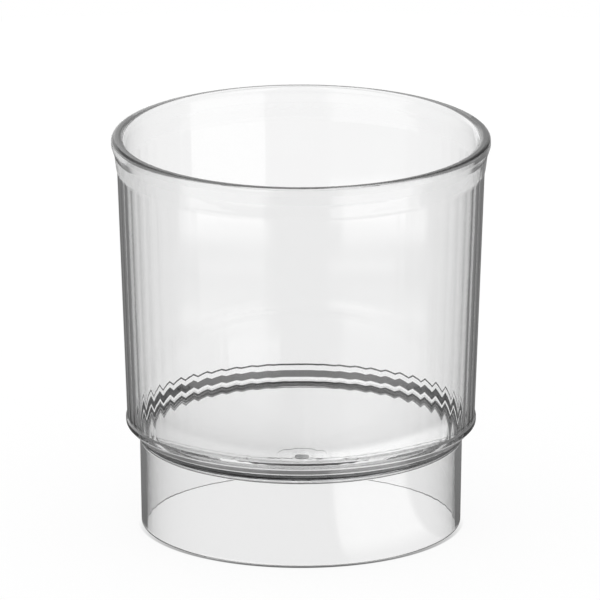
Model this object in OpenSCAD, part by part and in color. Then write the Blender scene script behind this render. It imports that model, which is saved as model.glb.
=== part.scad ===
// A clear moulded tumbler that stacks: a tapered wall of flat flutes between a plain band
// and a shoulder, a rounded lip, a dished floor with a ledge round it and an open foot. Millimetres.

/* [Overall] */
// Height from the foot to the top of the lip
height = 90; // [80:0.5:120]
// Outer diameter of the lip
lip_d = 85.2; // [76:0.2:100]

/* [Lip] */
// How far the lip stands out past the wall
lip_overhang = 0.7; // [0.3:0.05:1]
// Height of the lip's upright outer face, its rounded top included
lip_face_h = 1.8; // [1.2:0.1:3]
// Height of the slope that leads from the wall out to the lip
lip_flare_h = 2.1; // [1:0.1:3]
// Radius that rounds both edges of the lip's top
lip_round = 1.1; // [0.4:0.05:1.2]

/* [Wall] */
// Thickness of the wall just under the lip
wall_top_t = 2; // [1.6:0.05:2.6]
// Thickness of the wall at the shoulder
wall_base_t = 2.1; // [1.4:0.05:2.8]
// How far the shoulder ring stands in from the lip, all round
shoulder_inset = 3.2; // [2:0.1:6]

/* [Band] */
// Height of the plain band above the flutes, the lip included
band_h = 7; // [6.5:0.1:12]
// How far the band narrows from the lip to the flutes, all round
band_taper = 0.4; // [0.1:0.05:0.8]

/* [Flutes] */
// Number of flat faces around the wall
flute_count = 68; // [48:1:80]
// Step from the band in to the edges of the flutes
flute_top_step = 0.25; // [0.15:0.01:0.4]
// Height of the slope in which the flutes run out into the band
flute_top_run = 1.2; // [0.6:0.1:3]
// Step from the shoulder ring in to the edges of the flutes
flute_base_step = 0.25; // [0.1:0.01:0.3]
// Height of the slope in which the flutes run out onto the shoulder ring
flute_base_run = 0.45; // [0.3:0.05:1.5]

/* [Shoulder] */
// Height of the upright ring between the flutes and the sloping shoulder
ring_h = 1; // [0.6:0.1:5]
// Height of the sloping shoulder over the foot
shoulder_slope_h = 3.1; // [2.6:0.1:5]
// Radius that rounds the shoulder's outer edge
shoulder_round = 0.5; // [0.3:0.1:1.5]

/* [Foot] */
// Height of the foot under the shoulder
foot_h = 20.6; // [18:0.1:26]
// How far the foot stands in from the shoulder ring, all round
foot_inset = 3.1; // [2:0.1:3.4]
// How far the foot narrows from its top to its lower edge, all round
foot_taper = 0.35; // [0.1:0.05:0.8]
// Thickness of the foot at its top
foot_top_t = 1.5; // [1.2:0.05:2.2]
// Thickness of the foot at its lower edge
foot_base_t = 1.3; // [1:0.05:1.8]
// Radius that rounds the foot's lower edge
foot_edge_round = 0.45; // [0.2:0.05:0.6]

/* [Floor] */
// Thickness of the floor
floor_t = 2; // [1.6:0.1:3]
// Height of the floor's ledge above the top of the foot
floor_rise = 1.3; // [0.6:0.1:3]
// Width of that level ledge, from the wall to the dish
ledge_w = 3.6; // [2.6:0.1:6]
// How far the middle of the floor is dished below the ledge
dish_depth = 6.5; // [2:0.1:9]
// Radius that blends the dish into the ledge
dish_round = 6; // [2:0.5:8]
// Radius of the corner between the wall and the ledge
corner_round = 0.5; // [0.4:0.1:2.4]
// Radius of the corner between the foot and the floor's underside
under_round = 1; // [0.4:0.1:2]

/* [Gate] */
// Diameter of the shallow recess under the middle of the floor
dimple_d = 12; // [10:0.5:17]
// Depth of that recess
dimple_depth = 0.15; // [0.1:0.01:0.4]
// Diameter of the gate mark in the recess
gate_d = 3; // [2:0.1:5]
// How far the gate mark stands down from the recess
gate_h = 0.3; // [0.1:0.05:0.4]

/* [Hidden] */
plastic = [0.92, 0.94, 0.95, 0.45];
arc_steps = 6;
dish_steps = 10;
round_fn = 96;
// A cutter is this many times as wide as the face that it leaves, and its ends reach this many
// times as far as the slopes that they leave
cutter_lap = 1.3;
cutter_reach = 3;

lip_r = lip_d / 2;
lip_inner_r = lip_r - lip_overhang - wall_top_t;
band_top_r = lip_r - lip_overhang;
band_base_r = band_top_r - band_taper;
shoulder_r = lip_r - shoulder_inset;
foot_top_r = shoulder_r - foot_inset;
foot_base_r = foot_top_r - foot_taper;

ring_base_z = foot_h + shoulder_slope_h;
flute_base_z = ring_base_z + ring_h;
flute_top_z = height - band_h;
lip_face_z = height - lip_face_h;
lip_flare_z = lip_face_z - lip_flare_h;

// The inner wall runs straight from the lip down to the ledge round the floor
inner_slope = (lip_inner_r - shoulder_r + wall_base_t) / (height - flute_base_z);
ledge_z = foot_h + floor_rise;
ledge_outer_r = lip_inner_r - inner_slope * (height - ledge_z);
ledge_inner_r = ledge_outer_r - ledge_w;

// The dish is part of a sphere round this height on the axis, and so is its underside
dish_r = (pow(ledge_inner_r, 2) + pow(dish_depth, 2)) / (2 * dish_depth);
dish_centre_z = ledge_z - dish_depth + dish_r;
under_dish_r = dish_r + floor_t;
under_z = dish_centre_z - under_dish_r;
under_r = foot_top_r - foot_top_t;

// Height at radius r of a sphere round the dish's centre, on its lower side
function dish_z(r, sphere_r) = dish_centre_z - sqrt(pow(sphere_r, 2) - pow(r, 2));

// Corners along that sphere from the axis out to radius reach, none of them rounded
function dish(reach, sphere_r) =
    [for (i = [0 : dish_steps]) let (r = reach * i / dish_steps) [[r, dish_z(r, sphere_r)], 0]];

// Points of the arc that rounds corner b between a and c, held to the room that its sides leave
function rounded(a, b, c, radius) =
    let (
        to_a = (a - b) / norm(a - b),
        to_c = (c - b) / norm(c - b),
        half = acos(to_a * to_c) / 2,
        room = min(norm(a - b), norm(c - b)) / 2,
        r = min(radius, room * tan(half)),
        middle = b + (to_a + to_c) / norm(to_a + to_c) * r / sin(half),
        first = b + to_a * r / tan(half) - middle,
        start = atan2(first.y, first.x),
        turn = (180 - 2 * half) * sign(cross(b - a, c - b))
    )
    [for (i = [0 : arc_steps])
        middle + r * [cos(start + turn * i / arc_steps), sin(start + turn * i / arc_steps)]];

// An outline from rows of a corner and the radius that rounds it, 0 where it stays sharp
function outline(rows) =
    let (n = len(rows))
    [for (i = [0 : n - 1])
        let (before = rows[(i + n - 1) % n][0], here = rows[i][0], after = rows[(i + 1) % n][0])
        for (p = rows[i][1] > 0 ? rounded(before, here, after, rows[i][1]) : [here]) p];

// Half of the cup's section: under the floor, round the foot, up the outside and down the inside
module half_section() {
    under = dish(under_r - 2 * under_round, under_dish_r);
    top = dish(ledge_inner_r - dish_round / 3, dish_r);
    foot = [
        [[under_r, dish_z(under_r, under_dish_r)], under_round],
        [[foot_base_r - foot_base_t, 0], foot_edge_round],
        [[foot_base_r, 0], foot_edge_round],
        [[foot_top_r, foot_h], 0]
    ];
    outside = [
        [[shoulder_r, ring_base_z], shoulder_round],
        [[shoulder_r, flute_base_z], 0],
        [[band_base_r, flute_top_z], 0],
        [[band_top_r, lip_flare_z], lip_round],
        [[lip_r, lip_face_z], lip_round / 2],
        [[lip_r, height], lip_round]
    ];
    inside = [
        [[lip_inner_r, height], lip_round],
        [[ledge_outer_r, ledge_z], corner_round],
        [[ledge_inner_r, ledge_z], dish_round]
    ];
    polygon(outline(concat(under, foot, outside, inside, [for (i = [dish_steps : -1 : 0]) top[i]])));
}

// Cuts one flat face: a block whose inner side leans with the wall and slopes out at both ends
module flute_cutter() {
    base = [(shoulder_r - flute_base_step) * cos(180 / flute_count), flute_base_z + flute_base_run];
    top = [(band_base_r - flute_top_step) * cos(180 / flute_count), flute_top_z - flute_top_run];
    past_ring = base + cutter_reach * ([shoulder_r, flute_base_z] - base);
    past_band = top + cutter_reach * ([band_base_r, flute_top_z] - top);
    width = 2 * band_base_r * tan(180 / flute_count) * cutter_lap;
    rotate([90, 0, 0])
        translate([0, 0, -width / 2])
            linear_extrude(height = width)
                polygon([base, past_ring, past_band, top]);
}

// The shallow recess under the floor: its roof follows the dish, and the gate's stub stands in it
module gate_recess() {
    roof = dish(dimple_d / 2, under_dish_r - dimple_depth);
    difference() {
        rotate_extrude($fn = round_fn)
            polygon(concat([[0, under_z - gate_h], [dimple_d / 2, under_z - gate_h]],
                [for (i = [dish_steps : -1 : 0]) roof[i][0]]));
        translate([0, 0, under_z + dimple_depth - gate_h])
            cylinder(d = gate_d, h = 2 * gate_h, $fn = round_fn);
    }
}

module tumbler() {
    color(plastic)
        difference() {
            rotate_extrude($fn = round_fn) half_section();
            for (i = [0 : flute_count - 1])
                rotate([0, 0, (i + 0.5) * 360 / flute_count])
                    flute_cutter();
            gate_recess();
        }
}

tumbler();
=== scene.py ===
"""A clear fluted tumbler in injection-moulded polystyrene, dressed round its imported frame.

The cup is one moulding. Its section is drawn from corners, rounded and spun, and its wall is then
flattened into flutes. The studio is a white table under a plain white surround, with soft windows on
both sides that show only in reflections, as they do on polished plastic.
"""
from __future__ import annotations

import logging
import math
from dataclasses import dataclass, field
from enum import Enum
from typing import Any

import bmesh
import bpy
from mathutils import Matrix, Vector


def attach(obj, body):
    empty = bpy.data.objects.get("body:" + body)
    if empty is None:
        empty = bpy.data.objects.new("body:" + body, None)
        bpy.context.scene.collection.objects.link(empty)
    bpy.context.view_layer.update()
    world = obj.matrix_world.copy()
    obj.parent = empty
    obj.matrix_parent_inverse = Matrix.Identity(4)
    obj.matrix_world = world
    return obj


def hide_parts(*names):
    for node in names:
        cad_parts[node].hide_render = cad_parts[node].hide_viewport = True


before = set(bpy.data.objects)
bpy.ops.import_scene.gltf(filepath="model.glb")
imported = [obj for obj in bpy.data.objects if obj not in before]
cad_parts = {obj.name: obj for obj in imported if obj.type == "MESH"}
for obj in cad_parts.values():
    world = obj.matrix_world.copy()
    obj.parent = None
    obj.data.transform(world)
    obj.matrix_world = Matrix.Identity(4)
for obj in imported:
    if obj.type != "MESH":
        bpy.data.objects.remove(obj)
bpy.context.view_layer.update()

log = logging.getLogger("tumbler")

MM = 0.001
CUP_NODE = "tumbler"
CUP_BODY = "root"

# How often light may turn on its way through the plastic, and how often it may be mirrored
PATH_TURNS = 24
MIRROR_TURNS = 12

# In metres: vertices closer than this are one, and edges shorter than this are dropped
WELD = 1e-7
SLIVER = 1e-8


def linear(hex_colour: str) -> tuple[float, float, float, float]:
    """Turns an sRGB hex colour into linear RGBA.

    Args:
        hex_colour: Six hex digits, with or without a leading hash.

    Returns:
        Red, green, blue and an alpha of 1, as Blender's sockets hold them.
    """
    digits = hex_colour.lstrip("#")
    srgb = [int(digits[i:i + 2], 16) / 255 for i in (0, 2, 4)]
    red, green, blue = [c / 12.92 if c <= 0.04045 else ((c + 0.055) / 1.055) ** 2.4 for c in srgb]
    return red, green, blue, 1.0


def add_node(
    tree: bpy.types.NodeTree,
    kind: str,
    settings: dict[str, Any] | None = None,
    inputs: dict[str | int, Any] | None = None,
) -> bpy.types.Node:
    """Adds one node with its settings, and sets or links its inputs.

    Args:
        tree: The node tree that gets the node.
        kind: The node's type name, such as ShaderNodeMath.
        settings: Attributes of the node to set, such as operation.
        inputs: Values for the node's inputs by name or number. A value that is an output socket is linked.

    Returns:
        The new node.
    """
    node = tree.nodes.new(kind)
    for name, value in (settings or {}).items():
        setattr(node, name, value)
    for key, value in (inputs or {}).items():
        if isinstance(value, bpy.types.NodeSocket):
            tree.links.new(value, node.inputs[key])
        else:
            node.inputs[key].default_value = value
    return node


def fill_ramp(ramp: bpy.types.ColorRamp, stops: list[tuple[float, float]]) -> None:
    """Sets the stops of a colour ramp to greys.

    Args:
        ramp: The ramp to fill.
        stops: Position and linear grey of each stop, in order.
    """
    while len(ramp.elements) < len(stops):
        ramp.elements.new(1.0)
    for element, (position, grey) in zip(ramp.elements, stops):
        element.position = position
        element.color = (grey, grey, grey, 1.0)


@dataclass(frozen=True)
class ClearPolystyrene:
    """General-purpose polystyrene, injection moulded in a polished tool.

    It is water-clear and harder-looking than glass of the same thickness: a high index bends the view
    strongly at every edge, and long paths inside the wall go grey.
    """

    name: str = "injection_moulded_polystyrene"
    colour: str = "#FFFFFF"
    ior: float = 1.59
    roughness: float = 0.0
    # How densely the plastic swallows light on its way, per metre, and the tint that it leaves over
    absorption: float = 16.0
    absorbed_tint: str = "#B8BABB"
    # The faint ripple that cooling leaves in the wall: its length round the cup and up it, and its height, in
    # millimetres
    ripple_round: float = 3.0
    ripple_up: float = 14.0
    ripple_height: float = 0.009
    # Where the sprue was torn off, the plastic is rough; its dark grey is painted shade
    gate_painted_shade: str = "#4A4B4C"
    torn_roughness: float = 0.5

    def ripple(self, tree: bpy.types.NodeTree, place: bpy.types.NodeSocket) -> bpy.types.NodeSocket:
        """Adds the faint ripple, which frays the edges of reflections and lets straight lines waver.

        Args:
            tree: The material's tree.
            place: The socket with the place on the object.

        Returns:
            The socket with the rippled normal.
        """
        stretched = add_node(tree, "ShaderNodeVectorMath", {"operation": "DIVIDE"}, {
            0: place, 1: (self.ripple_round * MM, self.ripple_round * MM, self.ripple_up * MM)})
        waves = add_node(tree, "ShaderNodeTexNoise", inputs={
            "Vector": stretched.outputs[0], "Scale": 1.0, "Detail": 1.0})
        bump = add_node(tree, "ShaderNodeBump", inputs={
            "Height": waves.outputs["Fac"], "Strength": 1.0, "Distance": self.ripple_height * MM})
        return bump.outputs["Normal"]

    def material(self, gate_r: float, gate_z: float) -> bpy.types.Material:
        """Builds the clear plastic, with a rough gate mark darkened by painted shade.

        Args:
            gate_r: Radius of the gate mark round the axis, in millimetres.
            gate_z: Height that the gate mark stays under, in millimetres.

        Returns:
            The material, with a plain absorbing volume inside it.
        """
        made = bpy.data.materials.new(self.name)
        made.use_nodes = True
        tree = made.node_tree
        tree.nodes.clear()
        place = add_node(tree, "ShaderNodeTexCoord").outputs["Object"]
        split = add_node(tree, "ShaderNodeSeparateXYZ", inputs={0: place})
        level = add_node(tree, "ShaderNodeVectorMath", {"operation": "MULTIPLY"}, {
            0: place, 1: (1.0, 1.0, 0.0)})
        radius = add_node(tree, "ShaderNodeVectorMath", {"operation": "LENGTH"}, {0: level.outputs[0]})
        # The gate mark: rough, and tinted dark grey as painted shade
        near = add_node(tree, "ShaderNodeMath", {"operation": "LESS_THAN"}, {
            0: radius.outputs["Value"], 1: gate_r * MM})
        low = add_node(tree, "ShaderNodeMath", {"operation": "LESS_THAN"}, {
            0: split.outputs["Z"], 1: gate_z * MM})
        torn = add_node(tree, "ShaderNodeMath", {"operation": "MULTIPLY"}, {
            0: near.outputs[0], 1: low.outputs[0]})
        colour = add_node(tree, "ShaderNodeMix", {"data_type": "RGBA"}, {
            "Factor": torn.outputs[0], 6: linear(self.colour), 7: linear(self.gate_painted_shade)})
        finish = add_node(tree, "ShaderNodeMapRange", inputs={
            "Value": torn.outputs[0], "To Min": self.roughness, "To Max": self.torn_roughness})
        surface = add_node(tree, "ShaderNodeBsdfPrincipled", inputs={
            "Base Color": colour.outputs[2],
            "Roughness": finish.outputs[0],
            "IOR": self.ior,
            "Transmission Weight": 1.0,
            "Normal": self.ripple(tree, place),
        })
        inside = add_node(tree, "ShaderNodeVolumeAbsorption", inputs={
            "Color": linear(self.absorbed_tint),
            "Density": self.absorption,
        })
        add_node(tree, "ShaderNodeOutputMaterial", inputs={
            "Surface": surface.outputs["BSDF"],
            "Volume": inside.outputs["Volume"],
        })
        return made


@dataclass
class Tumbler:
    """The cup: its sizes in millimetres, as the part's source has them, and the steps that mould it."""

    height: float = 90.0
    lip_d: float = 85.2
    lip_overhang: float = 0.7
    lip_face_h: float = 1.8
    lip_flare_h: float = 2.1
    lip_round: float = 1.1
    wall_top_t: float = 2.0
    wall_base_t: float = 2.1
    shoulder_inset: float = 3.2
    band_h: float = 7.0
    band_taper: float = 0.4
    flute_count: int = 68
    flute_top_step: float = 0.25
    flute_top_run: float = 1.2
    flute_base_step: float = 0.25
    flute_base_run: float = 0.45
    ring_h: float = 1.0
    shoulder_slope_h: float = 3.1
    shoulder_round: float = 0.5
    foot_h: float = 20.6
    foot_inset: float = 3.1
    foot_taper: float = 0.35
    foot_top_t: float = 1.5
    foot_base_t: float = 1.3
    foot_edge_round: float = 0.45
    floor_t: float = 2.0
    floor_rise: float = 1.3
    ledge_w: float = 3.6
    dish_depth: float = 6.5
    dish_round: float = 6.0
    corner_round: float = 0.5
    under_round: float = 1.0
    dimple_d: float = 12.0
    dimple_depth: float = 0.15
    gate_d: float = 3.0
    gate_h: float = 0.3
    # The gate's rough finish and painted shade reach this many times as far as its mark, to take in the
    # mark's side
    gate_margin: float = 1.01
    # A moulded flute is slightly crowned: this share of a true flat's hollow is taken out of the round wall
    flute_flatness: float = 0.85
    # Fineness: columns in each flute, segments in each rounded corner and each dish
    flute_columns: int = 6
    corner_segments: int = 10
    dish_segments: int = 28
    # How close in millimetres a vertex lies to the wall's line to count as on it
    nearness: float = 0.001
    # How strongly a large face keeps its own direction in the shading beside small ones, up to 100
    flat_weight: int = 50
    # Edges that turn by more degrees than this are creases
    crease_angle: float = 12.0
    finish: ClearPolystyrene = field(default_factory=ClearPolystyrene)

    def __post_init__(self) -> None:
        """Works out the radii and heights that follow from the driving sizes."""
        self.lip_r = self.lip_d / 2
        self.band_top_r = self.lip_r - self.lip_overhang
        self.lip_inner_r = self.band_top_r - self.wall_top_t
        self.band_base_r = self.band_top_r - self.band_taper
        self.shoulder_r = self.lip_r - self.shoulder_inset
        self.foot_top_r = self.shoulder_r - self.foot_inset
        self.foot_base_r = self.foot_top_r - self.foot_taper
        self.ring_base_z = self.foot_h + self.shoulder_slope_h
        self.flute_base_z = self.ring_base_z + self.ring_h
        self.flute_top_z = self.height - self.band_h
        # The edges between the flutes, from where they leave the ring's slope to where the band's begins
        self.edge_base = (self.shoulder_r - self.flute_base_step, self.flute_base_z + self.flute_base_run)
        self.edge_top = (self.band_base_r - self.flute_top_step, self.flute_top_z - self.flute_top_run)
        self.lip_face_z = self.height - self.lip_face_h
        self.lip_flare_z = self.lip_face_z - self.lip_flare_h
        inner_run = self.lip_inner_r - self.shoulder_r + self.wall_base_t
        inner_slope = inner_run / (self.height - self.flute_base_z)
        self.ledge_z = self.foot_h + self.floor_rise
        self.ledge_outer_r = self.lip_inner_r - inner_slope * (self.height - self.ledge_z)
        self.ledge_inner_r = self.ledge_outer_r - self.ledge_w
        self.dish_r = (self.ledge_inner_r ** 2 + self.dish_depth ** 2) / (2 * self.dish_depth)
        self.dish_centre_z = self.ledge_z - self.dish_depth + self.dish_r
        self.under_dish_r = self.dish_r + self.floor_t
        self.under_z = self.dish_centre_z - self.under_dish_r
        self.under_r = self.foot_top_r - self.foot_top_t

    def point(self, radius: float, z: float) -> Vector:
        """Gives a place on the section in metres, from its radius and height in millimetres."""
        return Vector((radius * MM, 0.0, z * MM))

    def sphere_z(self, radius: float, sphere_r: float) -> float:
        """Gives the height of the dish's sphere, or its underside's, at a radius."""
        return self.dish_centre_z - math.sqrt(sphere_r ** 2 - radius ** 2)

    def draw_arc(self, bm: bmesh.types.BMesh, sphere_r: float, inner_r: float, outer_r: float) -> list[Any]:
        """Draws part of a dish's section by spinning one vertex round the sphere's centre.

        Args:
            bm: The mesh that holds the section.
            sphere_r: The sphere's radius.
            inner_r: Radius on the section where the arc starts.
            outer_r: Radius on the section where it ends.

        Returns:
            The arc's first and last vertex.
        """
        first = bm.verts.new(self.point(inner_r, self.sphere_z(inner_r, sphere_r)))
        turn = math.asin(outer_r / sphere_r) - math.asin(inner_r / sphere_r)
        spun = bmesh.ops.spin(
            bm, geom=[first], cent=self.point(0, self.dish_centre_z), axis=(0, -1, 0),
            angle=turn, steps=self.dish_segments,
        )
        last = next(part for part in spun["geom_last"] if isinstance(part, bmesh.types.BMVert))
        return [first, last]

    def draw_chain(self, bm: bmesh.types.BMesh, corners: list[Any]) -> list[Any]:
        """Joins corners with edges, in order.

        Args:
            bm: The mesh that holds the section.
            corners: Vertices, or pairs of a radius and a height that become vertices.

        Returns:
            The vertices of the chain.
        """
        chain = [c if isinstance(c, bmesh.types.BMVert) else bm.verts.new(self.point(*c)) for c in corners]
        for start, end in zip(chain, chain[1:]):
            bm.edges.new((start, end))
        return chain

    def corner_cut(self, chain: list[Any], place: int, radius: float) -> float:
        """Works out how far along its sides a corner is cut to round it, held to half of the shorter side.

        Args:
            chain: The corners of the section, none of them rounded yet.
            place: The corner's place in the chain.
            radius: The radius in millimetres.

        Returns:
            The distance in metres from the corner to where its arc starts.
        """
        before, here, after = [chain[place + step].co for step in (-1, 0, 1)]
        half = (before - here).angle(after - here) / 2
        return min(radius * MM / math.tan(half), (before - here).length / 2, (after - here).length / 2)

    def round_corner(self, bm: bmesh.types.BMesh, corner: Any, cut: float) -> None:
        """Rounds one corner of the section.

        Args:
            bm: The mesh that holds the section.
            corner: The vertex to round.
            cut: Distance in metres from the corner to where its arc starts.
        """
        bmesh.ops.bevel(
            bm, geom=[corner], offset=cut, offset_type="ABSOLUTE", affect="VERTICES",
            segments=self.corner_segments, profile=0.5, material=-1,
        )

    def draw_section(self, bm: bmesh.types.BMesh) -> None:
        """Draws half of the cup's section: under the floor, round the foot, up outside and down inside.

        Args:
            bm: An empty mesh.
        """
        gate_r, dimple_r = self.gate_d / 2, self.dimple_d / 2
        stub_z = self.under_z + self.dimple_depth - self.gate_h
        under_first, under_last = self.draw_arc(
            bm, self.under_dish_r, dimple_r, self.under_r - 2 * self.under_round)
        top_first, top_last = self.draw_arc(
            bm, self.dish_r, 0.0, self.ledge_inner_r - self.dish_round / 3)
        roof_first, roof_last = self.draw_arc(
            bm, self.under_dish_r - self.dimple_depth, gate_r, dimple_r)
        self.draw_chain(bm, [(0, stub_z), (gate_r, stub_z), roof_first])
        self.draw_chain(bm, [roof_last, under_first])
        rows: list[tuple[float, float, float]] = [
            (self.under_r, self.sphere_z(self.under_r, self.under_dish_r), self.under_round),
            (self.foot_base_r - self.foot_base_t, 0, self.foot_edge_round),
            (self.foot_base_r, 0, self.foot_edge_round),
            (self.foot_top_r, self.foot_h, 0),
            (self.shoulder_r, self.ring_base_z, self.shoulder_round),
            (self.shoulder_r, self.flute_base_z, 0),
            (*self.edge_base, 0),
            (*self.edge_top, 0),
            (self.band_base_r, self.flute_top_z, 0),
            (self.band_top_r, self.lip_flare_z, self.lip_round),
            (self.lip_r, self.lip_face_z, self.lip_round / 2),
            (self.lip_r, self.height, self.lip_round),
            (self.lip_inner_r, self.height, self.lip_round),
            (self.ledge_outer_r, self.ledge_z, self.corner_round),
            (self.ledge_inner_r, self.ledge_z, self.dish_round),
        ]
        chain = self.draw_chain(bm, [under_last] + [(r, z) for r, z, _ in rows] + [top_last])
        cuts = [self.corner_cut(chain, place, radius) for place, (_, _, radius) in enumerate(rows, start=1)]
        for corner, cut in zip(chain[1:-1], cuts):
            if cut > 0:
                self.round_corner(bm, corner, cut)

    def flatten_flutes(self, bm: bmesh.types.BMesh) -> None:
        """Draws the wall's columns in to the flat faces between the flutes' edges.

        Args:
            bm: The spun cup, with a flute's edge on +X.
        """
        pitch = 2 * math.pi / self.flute_count
        (base_r, base_z), (top_r, top_z) = self.edge_base, self.edge_top
        slope = (top_r - base_r) / (top_z - base_z)
        near = self.nearness
        for vert in bm.verts:
            radius, z = vert.co.xy.length / MM, vert.co.z / MM
            on_wall = abs(radius - base_r - slope * (z - base_z)) < near
            if on_wall and base_z - near < z < top_z + near:
                from_middle = math.atan2(vert.co.y, vert.co.x) % pitch - pitch / 2
                flat = math.cos(pitch / 2) / math.cos(from_middle)
                vert.co.xy *= 1 + self.flute_flatness * (flat - 1)

    def mark_creases(self, bm: bmesh.types.BMesh) -> None:
        """Shades the cup smooth, with hard creases at its steps and soft edges between its flutes.

        Args:
            bm: The finished cup.
        """
        crease = math.radians(self.crease_angle)
        for face in bm.faces:
            face.smooth = True
        for edge in bm.edges:
            edge.smooth = edge.calc_face_angle(0.0) < crease

    def build(self) -> bpy.types.Object:
        """Moulds the cup and dresses it.

        Returns:
            The cup, riding on its body in place of its solid.
        """
        bm = bmesh.new()
        self.draw_section(bm)
        bmesh.ops.spin(
            bm, geom=bm.verts[:] + bm.edges[:], cent=(0, 0, 0), axis=(0, 0, 1),
            angle=2 * math.pi, steps=self.flute_count * self.flute_columns, use_merge=True,
        )
        bmesh.ops.remove_doubles(bm, verts=bm.verts[:], dist=WELD)
        bmesh.ops.dissolve_degenerate(bm, edges=bm.edges[:], dist=SLIVER)
        self.flatten_flutes(bm)
        bmesh.ops.recalc_face_normals(bm, faces=bm.faces[:])
        self.mark_creases(bm)
        mesh = bpy.data.meshes.new("moulded_cup")
        bm.to_mesh(mesh)
        bm.free()
        cup = bpy.data.objects.new("moulded_cup", mesh)
        bpy.context.scene.collection.objects.link(cup)
        gate_r = self.gate_d / 2 * self.gate_margin
        mesh.materials.append(self.finish.material(gate_r, self.under_z + self.dimple_depth))
        # Polished flats stay flat right up to the rounded corners beside them
        flats = cup.modifiers.new("flats_stay_flat", "WEIGHTED_NORMAL")
        flats.mode = "FACE_AREA"
        flats.weight = self.flat_weight
        flats.keep_sharp = True
        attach(cup, CUP_BODY)
        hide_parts(CUP_NODE)
        log.info("%s: %d faces in %s", cup.name, len(mesh.polygons), self.finish.name)
        return cup


class Side(Enum):
    """Where a softbox stands, seen from the camera."""

    LEFT = -1.0
    RIGHT = 1.0


@dataclass(frozen=True)
class Softbox:
    """A soft window of light that shows only in reflections."""

    side: Side
    # Turn from the camera's own direction, in degrees, at which it starts and ends, and how soft its edges
    # are
    inner_turn: float
    outer_turn: float
    softness: float
    # The light that it adds to the room in mirrors
    sky_level: float
    # Its pools of light on the table: distance from the cup's axis in metres, and the light there
    pools: tuple[tuple[float, float], ...]


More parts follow.
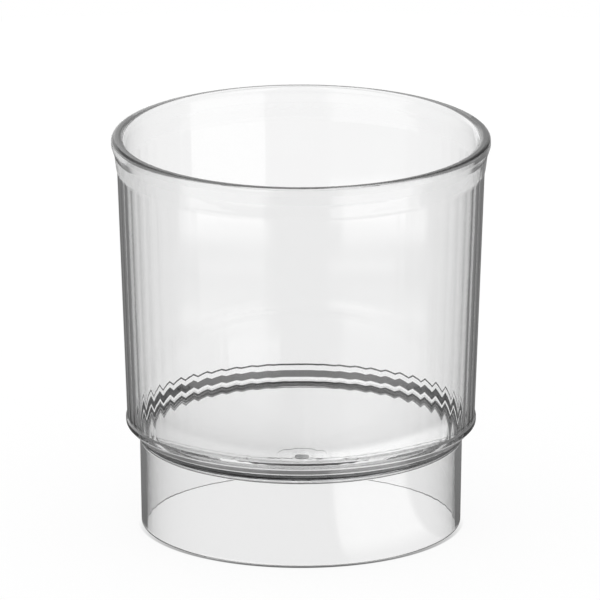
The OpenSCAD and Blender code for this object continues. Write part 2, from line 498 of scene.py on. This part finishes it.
@dataclass
class Studio:
    """The table, the surround and the camera."""

    softboxes: tuple[Softbox, ...] = (
        Softbox(Side.LEFT, 20.0, 78.0, 6.0, 1.0, (
            (0.0, 0.0), (0.1, 0.0), (0.13, 0.12), (0.14, 0.15), (0.175, 0.2), (0.187, 0.6), (0.197, 0.25),
            (0.215, 0.05), (0.232, 0.2), (0.245, 0.9), (0.275, 0.9), (0.295, 0.1), (0.42, 0.05))),
        Softbox(Side.RIGHT, 24.0, 81.0, 3.0, 0.5, (
            (0.0, 0.1), (0.1, 0.1), (0.13, 0.25), (0.17, 0.3), (0.187, 0.5),
            (0.197, 0.25), (0.215, 0.05), (0.232, 0.2), (0.245, 0.85), (0.42, 0.85))),
        Softbox(Side.RIGHT, 18.0, 65.0, 2.0, 0.0, (
            (0.0, 0.0), (0.04, 0.3), (0.05, 1.0), (0.09, 1.0), (0.1, 0.2), (0.12, 0.0))),
    )
    # Turn in degrees from straight ahead, and the backdrop's light there in mirrors
    backdrop_by_turn: tuple[tuple[float, float], ...] = (
        (-180, 0.0), (-60, 0.0), (-40, 0.8), (-14, 0.9), (-8, 1.3), (-1, 1.3), (1, 0.7), (18, 0.5), (28, 0.1),
        (180, 0.0))
    # Elevation in degrees, and the share of the backdrop's light there
    backdrop_by_rise: tuple[tuple[float, float], ...] = (
        (-90, 1.0), (17, 1.0), (22, 0.3), (90, 0.3))
    # Elevation in degrees and light of the surround, seen through the plastic and seen mirrored in it
    through_by_rise: tuple[tuple[float, float], ...] = (
        (-90, 1.0), (14, 1.0), (15.6, 0.2), (40, 0.2), (90, 0.3))
    room_by_rise: tuple[tuple[float, float], ...] = (
        (-90, 0.3), (-5, 0.1), (20, 0.25), (40, 0.6), (90, 0.8))
    # The table's light in mirrors, outside the pools
    table_room: float = 0.1
    # Light that was mirrored this often or more is trapped in the wall and goes grey
    trapped_after: float = 3.0
    trapped_share: float = 0.4
    # The table's radius in metres, and the segments of its edge
    table_radius: float = 0.42
    table_segments: int = 128
    # The highest level that the stops of the pools and of the backdrop may have
    brightest: float = 2.0
    # The table's whole light, just over 1 so that it shows as plain white, and the share of it that the
    # cup's shadow can take away
    white_table: float = 1.01
    shadow_share: float = 0.12
    # The contact shade close in front of the foot. The even white surround casts none so sharp, so the
    # table's material draws it: distance from the cup's axis in metres, and the share of light taken away
    contact_by_reach: tuple[tuple[float, float], ...] = (
        (0.0355, 0.0), (0.0358, 0.97), (0.0364, 0.97), (0.0369, 0.0))
    # The photograph in pixels: its width, the length of a millimetre, and the column of the cup's axis
    frame_px: float = 600.0
    px_per_mm: float = 4.447
    axis_px: float = 301.0
    # The camera: the height in millimetres that it looks at, its distance in metres, how far it stands above
    # level and to the left of the front in degrees, and its sensor's width in millimetres
    centre_z: float = 51.6
    distance: float = 4.0
    elevation: float = 16.7
    azimuth: float = 0.9
    sensor_width: float = 36.0

    def work_out(
        self, tree: bpy.types.NodeTree, operation: str, first: Any, second: Any = 0.0,
    ) -> bpy.types.NodeSocket:
        """Adds one sum to a tree.

        Args:
            tree: The tree that gets it.
            operation: The sum's name, such as MULTIPLY.
            first: A value or socket.
            second: A value or socket.

        Returns:
            The socket with the result.
        """
        return add_node(tree, "ShaderNodeMath", {"operation": operation}, {0: first, 1: second}).outputs[0]

    def curve(
        self, tree: bpy.types.NodeTree, value: Any, stops: tuple[tuple[float, float], ...], top: float = 1.0,
    ) -> bpy.types.NodeSocket:
        """Reads a level off a row of stops.

        Args:
            tree: The tree that gets the nodes.
            value: The socket to look up.
            stops: The value and the level of each stop, in order.
            top: The highest level, which the ramp's 1 stands for.

        Returns:
            The socket with the level.
        """
        low, high = stops[0][0], stops[-1][0]
        place = add_node(tree, "ShaderNodeMapRange", inputs={
            "Value": value, "From Min": low, "From Max": high})
        ramp = add_node(tree, "ShaderNodeValToRGB", inputs={"Fac": place.outputs[0]})
        fill_ramp(ramp.color_ramp, [((at - low) / (high - low), level / top) for at, level in stops])
        return self.work_out(tree, "MULTIPLY", ramp.outputs[0], top)

    def softbox_light(
        self, tree: bpy.types.NodeTree, across: Any, ahead: Any, reach: Any = None,
    ) -> bpy.types.NodeSocket:
        """Adds up the softboxes as they show in one level direction.

        Args:
            tree: The tree that gets the nodes.
            across: The direction's part along X.
            ahead: Its part along Y, away from the camera.
            reach: On the table, the distance from the cup's axis, whose pools of light are then asked for.

        Returns:
            The socket with their light.
        """
        toward = self.work_out(tree, "MULTIPLY", ahead, -1.0)
        turn = self.work_out(tree, "DEGREES", self.work_out(tree, "ARCTAN2", across, toward))
        total: Any = 0.0
        for box in self.softboxes:
            side_turn = self.work_out(tree, "MULTIPLY", turn, box.side.value)
            rising = add_node(tree, "ShaderNodeMapRange", {"interpolation_type": "SMOOTHSTEP"}, {
                "Value": side_turn, "From Min": box.inner_turn - box.softness,
                "From Max": box.inner_turn + box.softness}).outputs[0]
            falling = add_node(tree, "ShaderNodeMapRange", {"interpolation_type": "SMOOTHSTEP"}, {
                "Value": side_turn, "From Min": box.outer_turn - box.softness,
                "From Max": box.outer_turn + box.softness, "To Min": 1.0, "To Max": 0.0}).outputs[0]
            level = box.sky_level if reach is None else self.curve(tree, reach, box.pools, self.brightest)
            lit = self.work_out(tree, "MULTIPLY", self.work_out(tree, "MULTIPLY", rising, falling), level)
            total = self.work_out(tree, "ADD", total, lit)
        return total

    def dimmed(self, tree: bpy.types.NodeTree, light: Any) -> bpy.types.NodeSocket:
        """Dims mirrored light that has been mirrored many times inside the wall.

        Args:
            tree: The tree that gets the nodes.
            light: The light before it is dimmed.

        Returns:
            The socket with the light that is left.
        """
        path = add_node(tree, "ShaderNodeLightPath")
        share = add_node(tree, "ShaderNodeMapRange", inputs={
            "Value": path.outputs["Glossy Depth"], "From Min": 1.0, "From Max": self.trapped_after,
            "To Max": self.trapped_share, "To Min": 1.0})
        return self.work_out(tree, "MULTIPLY", light, share.outputs[0])

    def mirrored(self, tree: bpy.types.NodeTree) -> bpy.types.NodeSocket:
        """Gives 1 for light that was mirrored on its way and 0 for the rest."""
        path = add_node(tree, "ShaderNodeLightPath")
        return self.work_out(tree, "GREATER_THAN", path.outputs["Glossy Depth"], 0.5)

    def mix(self, tree: bpy.types.NodeTree, share: Any, first: Any, second: Any) -> bpy.types.NodeSocket:
        """Mixes two levels: the first where the share is 0, the second where it is 1."""
        mixed = add_node(tree, "ShaderNodeMix", {"data_type": "FLOAT"}, {0: share, 2: first, 3: second})
        return mixed.outputs[0]

    def surround(self) -> None:
        """Makes the world, which is one thing to the eye, one through the plastic and one in mirrors.

        To the eye and to the table it is plain white. Through the plastic it is dim from a little above
        level. In reflections it is a dark room with a pale backdrop and the softboxes.
        """
        world = bpy.data.worlds.new("studio_surround")
        world.use_nodes = True
        tree = world.node_tree
        tree.nodes.clear()
        place = add_node(tree, "ShaderNodeTexCoord")
        split = add_node(tree, "ShaderNodeSeparateXYZ", inputs={0: place.outputs["Generated"]})
        rise = self.work_out(tree, "DEGREES", self.work_out(tree, "ARCSINE", split.outputs["Z"]))
        through = self.curve(tree, rise, self.through_by_rise)
        boxes = self.softbox_light(tree, split.outputs["X"], split.outputs["Y"])
        ahead_turn = self.work_out(tree, "ARCTAN2", split.outputs["X"], split.outputs["Y"])
        turn = self.work_out(tree, "DEGREES", ahead_turn)
        backdrop = self.work_out(
            tree, "MULTIPLY", self.curve(tree, rise, self.backdrop_by_rise),
            self.curve(tree, turn, self.backdrop_by_turn, self.brightest))
        lights = self.work_out(tree, "ADD", boxes, backdrop)
        room = self.work_out(tree, "ADD", self.curve(tree, rise, self.room_by_rise), lights)
        unseen = self.mix(tree, self.mirrored(tree), through, self.dimmed(tree, room))
        path = add_node(tree, "ShaderNodeLightPath")
        open_light = self.work_out(
            tree, "MAXIMUM", path.outputs["Is Camera Ray"], path.outputs["Is Diffuse Ray"])
        light = add_node(tree, "ShaderNodeBackground", inputs={
            "Color": linear("#FFFFFF"), "Strength": self.mix(tree, open_light, unseen, 1.0)})
        add_node(tree, "ShaderNodeOutputWorld", inputs={"Surface": light.outputs[0]})
        bpy.context.scene.world = world
        log.info("surround: %d softboxes", len(self.softboxes))

    def uncovered(self, tree: bpy.types.NodeTree, ahead: Any, reach: Any) -> bpy.types.NodeSocket:
        """Works out the share of light that the drawn contact shade leaves to the table.

        Args:
            tree: The tree that gets the nodes.
            ahead: The place's part along Y, away from the camera.
            reach: The place's distance from the cup's axis.

        Returns:
            The socket with the share, 1 away from the foot.
        """
        toward = self.work_out(tree, "DIVIDE", self.work_out(tree, "MULTIPLY", ahead, -1.0), reach)
        front = self.work_out(tree, "MAXIMUM", toward, 0.0)
        lost = self.work_out(tree, "MULTIPLY", self.curve(tree, reach, self.contact_by_reach), front)
        return self.work_out(tree, "SUBTRACT", 1.0, lost)

    def table(self) -> bpy.types.Object:
        """Makes the white table that the cup stands on.

        Returns:
            The table.
        """
        bm = bmesh.new()
        bmesh.ops.create_circle(bm, cap_ends=True, segments=self.table_segments, radius=self.table_radius)
        mesh = bpy.data.meshes.new("table")
        bm.to_mesh(mesh)
        bm.free()
        made = bpy.data.materials.new("white_table")
        made.use_nodes = True
        tree = made.node_tree
        tree.nodes.clear()
        place = add_node(tree, "ShaderNodeTexCoord")
        split = add_node(tree, "ShaderNodeSeparateXYZ", inputs={0: place.outputs["Object"]})
        reach = add_node(tree, "ShaderNodeVectorMath", {"operation": "LENGTH"}, {
            0: place.outputs["Object"]})
        boxes = self.softbox_light(tree, split.outputs["X"], split.outputs["Y"], reach.outputs["Value"])
        room = self.dimmed(tree, self.work_out(tree, "ADD", boxes, self.table_room))
        uncovered = self.uncovered(tree, split.outputs["Y"], reach.outputs["Value"])
        seen = self.work_out(tree, "MULTIPLY", uncovered, self.white_table - self.shadow_share)
        glow = add_node(tree, "ShaderNodeEmission", inputs={
            "Strength": self.mix(tree, self.mirrored(tree), seen, room)})
        matt = add_node(tree, "ShaderNodeBsdfDiffuse", inputs={
            "Color": (self.shadow_share, self.shadow_share, self.shadow_share, 1.0)})
        both = add_node(tree, "ShaderNodeAddShader", inputs={0: glow.outputs[0], 1: matt.outputs[0]})
        add_node(tree, "ShaderNodeOutputMaterial", inputs={"Surface": both.outputs[0]})
        mesh.materials.append(made)
        table = bpy.data.objects.new("table", mesh)
        bpy.context.scene.collection.objects.link(table)
        log.info("%s: %.0f mm across", table.name, 2 * self.table_radius / MM)
        return table

    def camera(self) -> bpy.types.Object:
        """Places the camera at the photograph's angle, with the cup where the photograph has it.

        Returns:
            The camera, set as the scene's own.
        """
        data = bpy.data.cameras.new("camera")
        data.sensor_width = self.sensor_width
        data.lens = data.sensor_width * self.distance / (self.frame_px / self.px_per_mm * MM)
        rise, turn = math.radians(self.elevation), math.radians(self.azimuth)
        ahead = Vector((math.sin(turn) * math.cos(rise), math.cos(turn) * math.cos(rise), -math.sin(rise)))
        right = Vector((math.cos(turn), -math.sin(turn), 0.0))
        aside = (self.axis_px - self.frame_px / 2) / self.px_per_mm * MM
        target = Vector((0, 0, self.centre_z * MM)) - right * aside
        camera = bpy.data.objects.new("camera", data)
        camera.location = target - ahead * self.distance
        camera.rotation_euler = ahead.to_track_quat("-Z", "Y").to_euler()
        bpy.context.scene.collection.objects.link(camera)
        bpy.context.scene.camera = camera
        return camera


def main() -> None:
    """Builds the cup and the studio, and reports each."""
    logging.basicConfig(level=logging.INFO, format="%(name)s: %(message)s")
    scene = bpy.context.scene
    scene.view_settings.view_transform = "Standard"
    scene.cycles.use_denoising = True
    scene.cycles.max_bounces = PATH_TURNS
    scene.cycles.transmission_bounces = PATH_TURNS
    scene.cycles.glossy_bounces = MIRROR_TURNS
    Tumbler().build()
    studio = Studio()
    studio.surround()
    studio.table()
    studio.camera()


if __name__ == "__main__":
    main()
